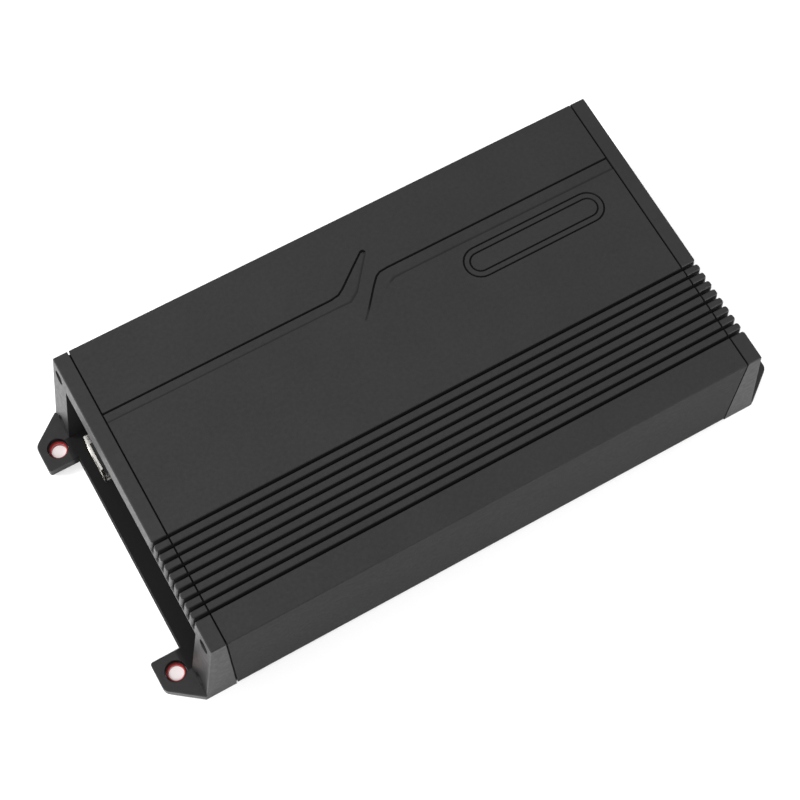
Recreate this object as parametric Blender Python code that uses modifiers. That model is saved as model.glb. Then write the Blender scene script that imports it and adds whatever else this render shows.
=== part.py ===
"""A compact four-channel car amplifier, modelled as its separate pieces.

Frame: origin at the centre of the footprint on the mounting plane, +X along the body towards the power end,
+Y towards the plain side, -Y towards the finned side, +Z up. Lengths are in metres.
"""

import math

import bmesh
import bpy
from mathutils import Matrix, Vector

MM = 0.001
GAP = 0.3 * MM  # clearance between pieces that touch
LOOSE_GAP = 0.4 * MM  # and round panels, plates and what comes through them
OVERRUN = 1 * MM  # how far a cutter runs past the face it opens
EDGE_OFFSET = 0.01 * MM  # keeps a cutter's edge off the face it meets

# Body
HEIGHT = 49.9 * MM
TOP_LENGTH = 214.0 * MM
END_FLARE = 6.4 * MM  # how much further out each end stands at the bottom
TOP_WIDTH = 118.1 * MM
SIDE_FLARE = 1.15 * MM
SEAM_X = 101.2 * MM
SEAM_GAP = 0.6 * MM  # the shadow line between the shell and a cap
SEAM_DEPTH = 0.8 * MM  # how deep that line is at the sides before the cap's shoulder closes it
SEAM_TOP_DEPTH = 1.7 * MM  # and how deep it is on top
SHOULDER_GAP = 0.1 * MM
SHOULDER_OVERLAP = 0.6 * MM
SEAM_ALLOWANCE = 2 * MM  # how far cutters and stock run past a seam
SHELL_BOTTOM = 1.7 * MM
WALL = 3.0 * MM
CEILING_PLAIN = 44.4 * MM
CEILING_FINS = 39.4 * MM
EDGE_CHAMFER = 0.4 * MM

# Fins
GROOVE_COUNT = 9
GROOVE_PITCH = 3.71 * MM
FIRST_GROOVE_Y = -17.05 * MM
GROOVE_WIDTH = 1.15 * MM
SHELL_LIP_RADIUS = 0.5 * MM  # rounding of the fins' top edges on the shell
CAP_LIP_RADIUS = 0.62 * MM  # and on the caps
FIN_END_RADIUS = 0.8 * MM  # rounding of the fins' upright edges at the caps' outer ends
GROOVE_FLOOR = 42.9 * MM
FINS_EDGE_Y = -13.5 * MM  # where the ceiling steps down under the fins

# Engraved step line
SLOT_WIDTH = 0.75 * MM
SLOT_DEPTH = 1.7 * MM
STEP_WALL_DEPTH = 0.32 * MM
STEP_FRONT_DEPTH = 0.25 * MM

# Engraved blank badge
BADGE_CENTRE = (62.5 * MM, 19.9 * MM)
BADGE_SIZE = (57.0 * MM, 12.6 * MM)
BADGE_LINE = 0.7 * MM
BADGE_INSET = 2.3 * MM  # from the outer line to the inner one
BADGE_DEPTH = 1.2 * MM

# End cap recess, columns and feet
RECESS_HALF_WIDTH = 48.8 * MM
RECESS_TOP = 41.8 * MM
FLOOR_THICKNESS = 4.6 * MM
CAP_EDGE_RADIUS = 0.5 * MM
FOOT_OUT_X = 124.8 * MM
FOOT_INNER_Y = 40.2 * MM
FOOT_CHAMFER_Y = 51.3 * MM
FOOT_CORNER_RADIUS = 3.2 * MM
FOOT_EDGE_RADIUS = 0.4 * MM
FOOT_HOLE_X = 118.2 * MM
FOOT_HOLE_Y = 47.0 * MM
FOOT_HOLE_RADIUS = 3.95 * MM
BUSHING_HEIGHT = 2.7 * MM
BUSHING_BORE = 2.8 * MM

# Cap screws
SCREW_Y = 54.3 * MM
SCREW_UPPER_Z = 43.6 * MM
SCREW_LOWER_Z = 8.0 * MM
SCREW_SEAT_UPPER_X = 104.8 * MM
SCREW_SEAT_LOWER_X = 108.4 * MM
SCREW_HEAD_RADIUS = 2.4 * MM
SCREW_HEAD_HEIGHT = 1.8 * MM
SCREW_SHANK_RADIUS = 1.3 * MM
SCREW_LENGTH = 14.0 * MM
COUNTERBORE_RADIUS = 2.7 * MM
CLEARANCE_RADIUS = 1.6 * MM

# Bottom plate
PLATE_THICKNESS = 1.4 * MM
PLATE_LOW_Z = 1.9 * MM
PLATE_HALF_WIDTH = 56.5 * MM
RAIL_LOW_Z = 3.6 * MM
RAIL_HIGH_Z = 12.4 * MM
RAIL_INNER_Y = 49.8 * MM
PLATE_SCREW_X = 80.0 * MM
PLATE_SCREW_Y = 53.4 * MM

# Panels and board
PANEL_THICKNESS = 1.5 * MM
PANEL_FACE_X = 100.6 * MM
BOARD_LOW_Z = 12.7 * MM
BOARD_THICKNESS = 1.6 * MM
BOARD_TOP = BOARD_LOW_Z + BOARD_THICKNESS
BOARD_HALF_LENGTH = 98.3 * MM
BOARD_HALF_WIDTH = 55.0 * MM
PART_LOW_Z = BOARD_TOP + GAP  # where pieces on the board stand

# Signal end
JACK_Y = (-41.0 * MM, -28.0 * MM)
JACK_Z = (20.5 * MM, 32.8 * MM)
JACK_TIP_X = 106.2 * MM
SLEEVE_RADIUS = 4.15 * MM
SLEEVE_BORE = 3.35 * MM
KNOB_Y = (-15.5 * MM, -5.0 * MM, 5.5 * MM)
KNOB_NAMES = ("front_gain", "rear_gain", "crossover")
KNOB_Z = 21.0 * MM
KNOB_RADIUS = 3.6 * MM
KNOB_TIP_X = 106.6 * MM
SWITCH_Y = 16.6 * MM
SWITCH_Z = 20.0 * MM
PORT_Y = 29.95 * MM
PORT_WIDTH = 14.1 * MM
PORT_TOP_Z = 28.0 * MM
PORT_TIP_X = 109.3 * MM
PORT_LIP = 0.75 * MM
LED_Y = 43.0 * MM
LED_Z = 21.0 * MM

# Power end
POWER_Y = (17.0 * MM, 30.0 * MM, 43.0 * MM)
POWER_NAMES = ("positive", "remote", "ground")
POWER_PORT_Z = 21.0 * MM
POWER_TIP_X = 107.9 * MM
TERMINAL_BACK_X = 86.0 * MM
SPEAKER_Y = (-42.0 * MM, -33.0 * MM, -24.0 * MM, -15.0 * MM)
SPEAKER_PORT_Z = 20.0 * MM


# ---------------------------------------------------------------- scene helpers
def clear_scene():
    for obj in list(bpy.data.objects):
        bpy.data.objects.remove(obj, do_unlink=True)


def new_collection(name, hidden=False):
    collection = bpy.data.collections.new(name)
    bpy.context.scene.collection.children.link(collection)
    collection.hide_render = hidden
    return collection


def material(name, color, roughness, metallic=0.0):
    made = bpy.data.materials.new(name)
    made.use_nodes = True
    shader = made.node_tree.nodes["Principled BSDF"]
    shader.inputs["Base Color"].default_value = (*color, 1.0)
    shader.inputs["Roughness"].default_value = roughness
    shader.inputs["Metallic"].default_value = metallic
    made.diffuse_color = (*color, 1.0)
    return made


def add_object(name, mesh, collection, location=(0, 0, 0), mat=None):
    obj = bpy.data.objects.new(name, mesh)
    obj.location = location
    collection.objects.link(obj)
    if mat is not None and not mesh.materials:
        mesh.materials.append(mat)
    return obj


def smooth(mesh, angle=math.radians(35)):
    mesh.shade_smooth()
    mesh.set_sharp_from_angle(angle=angle)


def finish_mesh(bm, name):
    bmesh.ops.recalc_face_normals(bm, faces=bm.faces)
    mesh = bpy.data.meshes.new(name)
    bm.to_mesh(mesh)
    bm.free()
    return mesh


def add_cutter(obj):
    obj.hide_render = True
    obj.display_type = "WIRE"
    return obj


def boolean(target, other, operation):
    modifier = target.modifiers.new(operation.title(), "BOOLEAN")
    modifier.operation = operation
    modifier.object = other
    modifier.solver = "EXACT"


def cut(target, *cutters):
    for cutter in cutters:
        boolean(target, cutter, "DIFFERENCE")


def apply_modifiers(obj):
    """The object's mesh with its modifiers worked in, so that copies can share it."""
    graph = bpy.context.evaluated_depsgraph_get()
    mesh = bpy.data.meshes.new_from_object(obj.evaluated_get(graph))
    obj.modifiers.clear()
    obj.data = mesh
    return mesh


# ---------------------------------------------------------------- shape helpers
def box_mesh(name, low, high):
    low, high = Vector(low), Vector(high)
    bm = bmesh.new()
    bmesh.ops.create_cube(bm, size=1.0)
    bmesh.ops.scale(bm, vec=high - low, verts=bm.verts)
    bmesh.ops.translate(bm, vec=(low + high) / 2, verts=bm.verts)
    return finish_mesh(bm, name)


def boxes_mesh(name, boxes):
    bm = bmesh.new()
    for low, high in boxes:
        low, high = Vector(low), Vector(high)
        made = bmesh.ops.create_cube(bm, size=1.0)["verts"]
        bmesh.ops.scale(bm, vec=high - low, verts=made)
        bmesh.ops.translate(bm, vec=(low + high) / 2, verts=made)
    return finish_mesh(bm, name)


def rods_mesh(name, rods, segments=24):
    """Cylinders along X: each rod is (y, z, radius, x_from, x_to)."""
    bm = bmesh.new()
    for y, z, radius, x_from, x_to in rods:
        turn = Matrix.Translation(((x_from + x_to) / 2, y, z)) @ Matrix.Rotation(math.pi / 2, 4, "Y")
        bmesh.ops.create_cone(
            bm,
            cap_ends=True,
            segments=segments,
            radius1=radius,
            radius2=radius,
            depth=abs(x_to - x_from),
            matrix=turn,
        )
    return finish_mesh(bm, name)


def upright_mesh(name, rods, segments=24):
    """Cylinders along Z: each rod is (x, y, radius, z_from, z_to)."""
    bm = bmesh.new()
    for x, y, radius, z_from, z_to in rods:
        bmesh.ops.create_cone(
            bm,
            cap_ends=True,
            segments=segments,
            radius1=radius,
            radius2=radius,
            depth=z_to - z_from,
            matrix=Matrix.Translation((x, y, (z_from + z_to) / 2)),
        )
    return finish_mesh(bm, name)


def outline_mesh(name, outlines, thickness, matrix):
    """A flat filled outline, or several, given a thickness along its local Z and placed by the matrix."""
    curve = bpy.data.curves.new(name + "_outline", "CURVE")
    curve.dimensions = "2D"
    curve.fill_mode = "BOTH"
    curve.extrude = thickness / 2
    for outline in outlines:
        spline = curve.splines.new("POLY")
        spline.points.add(len(outline) - 1)
        for point, (u, v) in zip(spline.points, outline):
            point.co = (u, v, 0, 1)
        spline.use_cyclic_u = True
        spline.use_smooth = False
    guide = bpy.data.objects.new(name + "_outline", curve)
    bpy.context.scene.collection.objects.link(guide)
    guide.matrix_world = matrix
    bpy.context.view_layer.update()
    graph = bpy.context.evaluated_depsgraph_get()
    mesh = bpy.data.meshes.new_from_object(guide.evaluated_get(graph))
    mesh.transform(matrix)
    bpy.data.objects.remove(guide, do_unlink=True)
    bm = bmesh.new()
    bm.from_mesh(mesh)
    bmesh.ops.remove_doubles(bm, verts=bm.verts, dist=1e-6)
    bpy.data.meshes.remove(mesh)
    return finish_mesh(bm, name)


# Local X, Y, Z of an outline drawn across the body become world Y, Z, X.
ACROSS = Matrix(((0, 0, 1, 0), (1, 0, 0, 0), (0, 1, 0, 0), (0, 0, 0, 1)))


def turned(name, profile, steps, collection, location, mat, axis_matrix=None):
    """A profile of (radius, height) points, outer side top to bottom, turned about local Z."""
    mesh = bpy.data.meshes.new(name)
    points = [(radius, 0, height) for radius, height in profile]
    count = len(points)
    closed = profile[0][0] > 0 and profile[-1][0] > 0
    edges = [(i, i + 1) for i in range(count - 1)] + ([(count - 1, 0)] if closed else [])
    mesh.from_pydata(points, edges, [])
    obj = add_object(name, mesh, collection, location, mat)
    if axis_matrix is not None:
        obj.matrix_world = Matrix.Translation(location) @ axis_matrix
    screw = obj.modifiers.new("Turn", "SCREW")
    screw.steps = steps
    screw.render_steps = steps
    screw.use_merge_vertices = True
    screw.merge_threshold = 1e-6
    return obj


def arc(cx, cy, radius, start, end, count):
    """Points along a circular arc, angles in degrees."""
    angles = [math.radians(start + (end - start) * i / count) for i in range(count + 1)]
    return [(cx + radius * math.cos(a), cy + radius * math.sin(a)) for a in angles]


def side_y(z):
    """Half-width of the body at height z."""
    return TOP_WIDTH / 2 + SIDE_FLARE * (1 - z / HEIGHT)


def end_x(z):
    """Half-length of the body at height z."""
    return TOP_LENGTH / 2 + END_FLARE * (1 - z / HEIGHT)


def groove_centre(index):
    return FIRST_GROOVE_Y - GROOVE_PITCH * index


# ---------------------------------------------------------------- shell and base
def groove_outline(index, lip):
    """One groove: from its left lip, rounded by the lip radius, round its floor, to its right lip."""
    y = groove_centre(index)
    half = GROOVE_WIDTH / 2
    left = arc(y - half - lip, HEIGHT - lip, lip, 90, 0, 3)
    floor = arc(y, GROOVE_FLOOR + half, half, 180, 360, 3)
    right = arc(y + half + lip, HEIGHT - lip, lip, 180, 90, 3)
    return [*left, *floor, *right]


def shell_outline():
    inner = side_y(RAIL_HIGH_Z) - WALL
    upper = side_y(CEILING_FINS) - WALL
    corner_y = SCREW_Y - 4.1 * MM
    corner_z = SCREW_UPPER_Z - 3.6 * MM
    plate_y = PLATE_HALF_WIDTH + LOOSE_GAP
    points = [(-side_y(SHELL_BOTTOM), SHELL_BOTTOM), (-side_y(HEIGHT - EDGE_CHAMFER), HEIGHT - EDGE_CHAMFER)]
    points.append((-side_y(HEIGHT) + EDGE_CHAMFER, HEIGHT))
    for index in reversed(range(GROOVE_COUNT)):
        points += groove_outline(index, SHELL_LIP_RADIUS)
    points += [
        (side_y(HEIGHT) - EDGE_CHAMFER, HEIGHT),
        (side_y(HEIGHT - EDGE_CHAMFER), HEIGHT - EDGE_CHAMFER),
        (side_y(SHELL_BOTTOM), SHELL_BOTTOM),
        (plate_y, SHELL_BOTTOM),
        (plate_y, RAIL_LOW_Z),
        (RAIL_INNER_Y, RAIL_LOW_Z),
        (RAIL_INNER_Y, RAIL_HIGH_Z),
        (inner, RAIL_HIGH_Z),
        (upper, corner_z),
        (corner_y, corner_z),
        (corner_y, CEILING_PLAIN),
        (FINS_EDGE_Y, CEILING_PLAIN),
        (FINS_EDGE_Y, CEILING_FINS),
        (-upper, CEILING_FINS),
        (-inner, RAIL_HIGH_Z),
        (-RAIL_INNER_Y, RAIL_HIGH_Z),
        (-RAIL_INNER_Y, RAIL_LOW_Z),
        (-plate_y, RAIL_LOW_Z),
        (-plate_y, SHELL_BOTTOM),
    ]
    return points


def ramp_cutter(name, sections, collection):
    """A channel cut from the top: each section is (wall point, its depth, front point, its depth)."""
    above = HEIGHT + OVERRUN
    bm = bmesh.new()
    rows = []
    for wall, wall_depth, front, front_depth in sections:
        corners = ((wall, HEIGHT - wall_depth), (front, HEIGHT - front_depth), (front, above), (wall, above))
        rows.append([bm.verts.new((x * MM, y * MM, z)) for (x, y), z in corners])
    for near, far in zip(rows, rows[1:]):
        for i in range(4):
            j = (i + 1) % 4
            bm.faces.new((near[i], near[j], far[j], far[i]))
    bm.faces.new(rows[0])
    bm.faces.new(rows[-1])
    return add_cutter(add_object(name, finish_mesh(bm, name), collection))


def beside(points, index, distance):
    """The point at a distance to the right of a polyline, level with one of its own points."""
    back, on = Vector(points[max(index - 1, 0)]), Vector(points[min(index + 1, len(points) - 1)])
    along = (on - back).normalized()
    return tuple(Vector(points[index]) + distance * Vector((along.y, -along.x)))


def engraved_run(name, walls, fronts, depths, collection):
    """A narrow slot along the wall line, and the shallow step between it and the front line."""
    slot, step = [], []
    width = SLOT_WIDTH / MM
    for index, (wall, front, share) in enumerate(zip(walls, fronts, depths)):
        deep = SLOT_DEPTH * share
        slot.append((wall, deep, beside(walls, index, width), deep))
        step.append((wall, STEP_WALL_DEPTH * share, front, STEP_FRONT_DEPTH * share))
    slot_cut = ramp_cutter(name + "_slot_cut", slot, collection)
    return [slot_cut, ramp_cutter(name + "_step_cut", step, collection)]


def tip_cutter(collection):
    """The slot's hook round the tip of the left run."""
    middle, radius = (5.6, 43.0), 1.25
    wall = arc(*middle, radius, 150, -25, 8)
    inside = arc(*middle, radius - 1.4 * SLOT_WIDTH / MM, 150, -25, 8)
    sections = [(outer, SLOT_DEPTH, inner, SLOT_DEPTH) for outer, inner in zip(wall, inside)]
    return ramp_cutter("step_tip_cut", sections, collection)


def step_line_cutters(collection):
    """The engraved line: two level runs that turn into a slanted zig-zag near the middle. Points in mm."""
    end = SEAM_X / MM + 2
    walls = [(-end, 32.6), (-13.0, 32.6), (-9.8, 33.1), (-7.6, 34.4), (-1.3, 39.3), (4.6, 43.8)]
    fronts = [(-end, 28.4), (-12.5, 28.1), (-7.0, 27.9), (-3.4, 30.2), (0.7, 35.2), (6.5, 42.2)]
    left = engraved_run("step_left", walls, fronts, [1] * len(walls), collection)
    walls = [(end, 34.2), (10.4, 34.3), (7.2, 34.0), (5.3, 33.0), (2.6, 30.1), (-3.4, 22.9), (-6.3, 19.7)]
    fronts = [(end, 28.7), (14.7, 29.0), (11.0, 28.9), (8.7, 28.0), (6.0, 26.4), (-0.5, 21.2), (-4.9, 18.7)]
    walls.reverse()
    fronts.reverse()
    right = engraved_run("step_right", walls, fronts, [0.1, 0.3, 0.7, 1, 1, 1, 1], collection)
    return [*left, tip_cutter(collection), *right]


def stadium(centre, size, inset):
    """An outline with half-round ends, drawn inside its size by the inset."""
    radius = size[1] / 2 - inset
    reach = size[0] / 2 - size[1] / 2
    x, y = centre
    return arc(x + reach, y, radius, -90, 90, 12) + arc(x - reach, y, radius, 90, 270, 12)


def badge_cutters(collection):
    """A blank badge: two engraved oblong lines, one inside the other."""
    place = Matrix.Translation((0, 0, HEIGHT))
    lines = []
    for name, inset in (("badge_outer_cut", 0), ("badge_inner_cut", BADGE_INSET)):
        outlines = [stadium(BADGE_CENTRE, BADGE_SIZE, edge) for edge in (inset, inset + BADGE_LINE)]
        mesh = outline_mesh(name, outlines, 2 * BADGE_DEPTH, place)
        lines.append(add_cutter(add_object(name, mesh, collection)))
    return lines


def build_shell(parts, cutters, mat):
    length = 2 * SEAM_X - SEAM_GAP
    mesh = outline_mesh("heatsink_shell", [shell_outline()], length, ACROSS)
    shell = add_object("heatsink_shell", mesh, parts, mat=mat)
    end = length / 2
    deep = 10.6 * MM
    rods = []
    for side in (-1, 1):
        for y in (-SCREW_Y, SCREW_Y):
            for z in (SCREW_UPPER_Z, SCREW_LOWER_Z):
                rods.append((y, z, CLEARANCE_RADIUS, side * (end - deep), side * (end + OVERRUN)))
    screw_holes = add_object("shell_screw_cut", rods_mesh("shell_screw_cut", rods, 16), cutters)
    plate_rods = [
        (x, y, CLEARANCE_RADIUS, RAIL_LOW_Z - OVERRUN, RAIL_LOW_Z + 6.4 * MM)
        for x in (-PLATE_SCREW_X, PLATE_SCREW_X)
        for y in (-PLATE_SCREW_Y, PLATE_SCREW_Y)
    ]
    plate_holes = add_object("shell_plate_cut", upright_mesh("shell_plate_cut", plate_rods, 16), cutters)
    cut(shell, add_cutter(screw_holes), add_cutter(plate_holes))
    cut(shell, *step_line_cutters(cutters), *badge_cutters(cutters))
    return shell


def build_bottom_plate(parts, cutters, mat):
    half = SEAM_X - SEAM_GAP / 2 - LOOSE_GAP
    low = (-half, -PLATE_HALF_WIDTH, PLATE_LOW_Z)
    high = (half, PLATE_HALF_WIDTH, PLATE_LOW_Z + PLATE_THICKNESS)
    plate = add_object("bottom_plate", box_mesh("bottom_plate", low, high), parts, mat=mat)
    rods = [
        (x, y, 1.75 * MM, PLATE_LOW_Z - OVERRUN, PLATE_LOW_Z + PLATE_THICKNESS + OVERRUN)
        for x in (-PLATE_SCREW_X, PLATE_SCREW_X)
        for y in (-PLATE_SCREW_Y, PLATE_SCREW_Y)
    ]
    cut(plate, add_cutter(add_object("plate_cut", upright_mesh("plate_cut", rods, 20), cutters)))
    return plate


# ---------------------------------------------------------------- end caps
def tapered_block(name):
    """The cap's outer block: from inside the seam to the flared end, wider at the bottom, its edges rounded."""
    bm = bmesh.new()
    bmesh.ops.create_cube(bm, size=2.0)
    inner = SEAM_X - SEAM_ALLOWANCE
    for vert in bm.verts:
        z = HEIGHT if vert.co.z > 0 else 0.0
        x = end_x(z) if vert.co.x > 0 else inner
        y = side_y(z) * (1 if vert.co.y > 0 else -1)
        vert.co = (x, y, z)
    rounded = [edge for edge in bm.edges if max(vert.co.x for vert in edge.verts) > inner + SEAM_ALLOWANCE]
    bmesh.ops.bevel(bm, geom=rounded, offset=CAP_EDGE_RADIUS, segments=3, profile=0.5, affect="EDGES")
    return finish_mesh(bm, name)


def eased(mesh, radius):
    """Rounds the upper and lower edges of a flat piece."""
    bm = bmesh.new()
    bm.from_mesh(mesh)
    bmesh.ops.dissolve_limit(bm, angle_limit=math.radians(1), verts=bm.verts, edges=bm.edges)
    level = [e for e in bm.edges if abs(e.verts[0].co.z - e.verts[1].co.z) < 1e-6]
    bmesh.ops.bevel(bm, geom=level, offset=radius, segments=2, profile=0.5, affect="EDGES")
    bm.to_mesh(mesh)
    bm.free()
    return mesh


def foot_corner():
    """The arc that rounds the foot's outer corner, tangent to its outer side and to its chamfer."""
    turn = math.degrees(math.atan2(FOOT_OUT_X - end_x(0), side_y(0) - FOOT_CHAMFER_Y))
    drop = FOOT_CORNER_RADIUS * math.tan(math.radians(turn) / 2)
    return arc(FOOT_OUT_X - FOOT_CORNER_RADIUS, FOOT_CHAMFER_Y - drop, FOOT_CORNER_RADIUS, 0, turn, 5)


def foot_outline(sign):
    """Plan of one foot: square inner side, short outer side, long chamfer to the cap's corner."""
    inside = end_x(FLOOR_THICKNESS) - 6 * MM
    slope = (side_y(0) - FOOT_CHAMFER_Y) / (FOOT_OUT_X - end_x(0))
    root_y = FOOT_CHAMFER_Y + slope * (FOOT_OUT_X - end_x(0))
    points = [(inside, FOOT_INNER_Y)]
    points += arc(FOOT_OUT_X - 1 * MM, FOOT_INNER_Y + 1 * MM, 1 * MM, -90, 0, 3)
    points += foot_corner()
    points += [(end_x(0) - 0.05 * MM, root_y - 0.05 * MM), (inside, root_y - 0.4 * MM)]
    return [(x, sign * y) for x, y in points]


def comb_outline(spread):
    """All the grooves of a cap, joined above its top, each wider by the spread on both sides."""
    above = HEIGHT + OVERRUN
    points = [(groove_centre(GROOVE_COUNT - 1) - GROOVE_PITCH, above)]
    for index in reversed(range(GROOVE_COUNT)):
        middle = groove_centre(index)
        for y, z in groove_outline(index, CAP_LIP_RADIUS):
            z = HEIGHT + EDGE_OFFSET if abs(z - HEIGHT) < 1e-9 else z
            points.append((y + math.copysign(spread, y - middle), z - spread / 2 * (z < HEIGHT)))
    points.append((groove_centre(0) + GROOVE_PITCH, above))
    return points


def comb_cutter(collection):
    """The cap's grooves, which open out in a round at the cap's outer end."""
    radius = FIN_END_RADIUS
    sections = [[(SEAM_X - SEAM_ALLOWANCE, y, z) for y, z in comb_outline(0)]]
    rounds = arc(0, 0, radius, 0, 72, 3)
    for across, out in rounds:
        sections.append([(end_x(z) - radius + out, y, z) for y, z in comb_outline(radius - across)])
    sections.append([(end_x(z) + OVERRUN, y, z) for y, z in comb_outline(radius - rounds[-1][0])])
    bm = bmesh.new()
    rows = [[bm.verts.new(point) for point in section] for section in sections]
    count = len(rows[0])
    for near, far in zip(rows, rows[1:]):
        for i in range(count):
            j = (i + 1) % count
            bm.faces.new((near[i], near[j], far[j], far[i]))
    bm.faces.new(rows[0])
    bm.faces.new(rows[-1])
    return add_cutter(add_object("cap_groove_cut", finish_mesh(bm, "cap_groove_cut"), collection))


def cap_shoulder(cutters):
    """The cap's inner shoulder, which closes the seam behind its shadow line."""
    inner = SEAM_X - SEAM_GAP / 2 + SHOULDER_GAP
    inset = SEAM_DEPTH
    low, high = inset, HEIGHT - SEAM_TOP_DEPTH
    outline = [(-side_y(low) + inset, low), (side_y(low) - inset, low)]
    outline += [(side_y(high) - inset, high), (-side_y(high) + inset, high)]
    thickness = SEAM_GAP + SHOULDER_OVERLAP
    place = Matrix.Translation((inner + thickness / 2, 0, 0)) @ ACROSS
    return add_object("cap_shoulder", outline_mesh("cap_shoulder", [outline], thickness, place), cutters)


def cap_template(parts, cutters, mat):
    """The right-hand cap; the left one is its mirror image."""
    cap = add_object("end_cap_right", tapered_block("end_cap_right"), parts, mat=mat)
    inner = SEAM_X + SEAM_GAP / 2
    far = FOOT_OUT_X + OVERRUN
    seam_low = (inner - 2 * SEAM_ALLOWANCE, -TOP_WIDTH, -OVERRUN)
    seam_high = (inner, TOP_WIDTH, HEIGHT + OVERRUN)
    seam = add_object("cap_seam_cut", box_mesh("cap_seam_cut", seam_low, seam_high), cutters)
    cut(cap, add_cutter(seam))
    boolean(cap, add_cutter(cap_shoulder(cutters)), "UNION")
    recess_low = (inner - SEAM_ALLOWANCE, -RECESS_HALF_WIDTH, FLOOR_THICKNESS)
    recess_high = (far, RECESS_HALF_WIDTH, RECESS_TOP)
    recess = add_object("cap_recess_cut", box_mesh("cap_recess_cut", recess_low, recess_high), cutters)
    plan = Matrix.Translation((0, 0, FLOOR_THICKNESS / 2))
    for sign, name in ((-1, "cap_foot_front"), (1, "cap_foot_back")):
        mesh = eased(outline_mesh(name, [foot_outline(sign)], FLOOR_THICKNESS, plan), FOOT_EDGE_RADIUS)
        foot = add_cutter(add_object(name, mesh, cutters))
        boolean(cap, foot, "UNION")
    wide, narrow, bores = [], [], []
    for y in (-SCREW_Y, SCREW_Y):
        for z, seat in ((SCREW_UPPER_Z, SCREW_SEAT_UPPER_X), (SCREW_LOWER_Z, SCREW_SEAT_LOWER_X)):
            wide.append((y, z, COUNTERBORE_RADIUS, seat, far))
            narrow.append((y, z, CLEARANCE_RADIUS, inner - SEAM_ALLOWANCE, seat + OVERRUN))
    for y in (-FOOT_HOLE_Y, FOOT_HOLE_Y):
        bores.append((FOOT_HOLE_X, y, FOOT_HOLE_RADIUS, -OVERRUN, FLOOR_THICKNESS + OVERRUN))
    counterbores = add_object("cap_counterbore_cut", rods_mesh("cap_counterbore_cut", wide), cutters)
    clearances = add_object("cap_clearance_cut", rods_mesh("cap_clearance_cut", narrow, 16), cutters)
    holes = add_object("cap_foot_cut", upright_mesh("cap_foot_cut", bores, 32), cutters)
    for cutter in (recess, counterbores, clearances, holes):
        cut(cap, add_cutter(cutter))
    cut(cap, comb_cutter(cutters))
    apply_modifiers(cap)
    return cap


def build_caps(parts, cutters, mat):
    right = cap_template(parts, cutters, mat)
    bm = bmesh.new()
    bm.from_mesh(right.data)
    bmesh.ops.scale(bm, vec=(-1, 1, 1), verts=bm.verts)
    bmesh.ops.reverse_faces(bm, faces=bm.faces)
    add_object("end_cap_left", finish_mesh(bm, "end_cap_left"), parts, mat=mat)


def build_bushings(parts, mat):
    outer = FOOT_HOLE_RADIUS - GAP
    top = BUSHING_HEIGHT
    profile = [
        (outer, top),
        (outer, 0),
        (BUSHING_BORE, 0),
        (BUSHING_BORE, top - 0.5 * MM),
        (BUSHING_BORE + 0.4 * MM, top),
    ]
    shared = None
    for side, x in (("left", -FOOT_HOLE_X), ("right", FOOT_HOLE_X)):
        for row, y in (("front", -FOOT_HOLE_Y), ("back", FOOT_HOLE_Y)):
            name = f"foot_bushing_{side}_{row}"
            if shared is None:
                first = turned(name, profile, 28, parts, (x, y, 0), mat)
                shared = apply_modifiers(first)
                smooth(shared)
            else:
                add_object(name, shared, parts, (x, y, 0))


# ---------------------------------------------------------------- screws
def screw_mesh(parts, cutters, name, head_radius, head_height, shank_radius, length, mat):
    """A domed head with a hexagon socket on a plain shank, standing on local Z."""
    profile = [
        (0, head_height),
        (head_radius * 0.72, head_height),
        (head_radius, head_height * 0.6),
        (head_radius, 0),
        (shank_radius, 0),
        (shank_radius, -length + shank_radius * 0.5),
        (shank_radius * 0.5, -length),
        (0, -length),
    ]
    screw = turned(name, profile, 20, parts, (0, 0, 0), mat)
    bm = bmesh.new()
    bmesh.ops.create_cone(
        bm,
        cap_ends=True,
        segments=6,
        radius1=head_radius * 0.5,
        radius2=head_radius * 0.5,
        depth=head_height * 1.6,
        matrix=Matrix.Translation((0, 0, head_height * 1.1)),
    )
    socket = add_cutter(add_object(name + "_socket_cut", finish_mesh(bm, name + "_socket_cut"), cutters))
    cut(screw, socket)
    mesh = apply_modifiers(screw)
    smooth(mesh)
    bpy.data.objects.remove(screw, do_unlink=True)
    return mesh


def facing(side):
    """Turns local +Z to point out of the left (-1) or right (+1) end."""
    return Matrix.Rotation(side * math.pi / 2, 4, "Y")


def build_cap_screws(parts, cutters, mat):
    sizes = (SCREW_HEAD_RADIUS, SCREW_HEAD_HEIGHT, SCREW_SHANK_RADIUS, SCREW_LENGTH)
    mesh = screw_mesh(parts, cutters, "cap_screw", *sizes, mat)
    levels = ((SCREW_UPPER_Z, SCREW_SEAT_UPPER_X, "upper"), (SCREW_LOWER_Z, SCREW_SEAT_LOWER_X, "lower"))
    for side, end in ((-1, "left"), (1, "right")):
        for y, row in ((-SCREW_Y, "front"), (SCREW_Y, "back")):
            for z, seat, level in levels:
                screw = add_object(f"cap_screw_{end}_{row}_{level}", mesh, parts, mat=mat)
                screw.matrix_world = Matrix.Translation((side * (seat + GAP), y, z)) @ facing(side)


def build_plate_screws(parts, cutters, mat):
    mesh = screw_mesh(parts, cutters, "plate_screw", 2.6 * MM, 1.2 * MM, 1.3 * MM, 6.6 * MM, mat)
    for x, end in ((-PLATE_SCREW_X, "left"), (PLATE_SCREW_X, "right")):
        for y, row in ((-PLATE_SCREW_Y, "front"), (PLATE_SCREW_Y, "back")):
            screw = add_object(f"plate_screw_{end}_{row}", mesh, parts, mat=mat)
            place = Matrix.Translation((x, y, PLATE_LOW_Z - GAP))
            screw.matrix_world = place @ Matrix.Rotation(math.pi, 4, "X")


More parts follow.
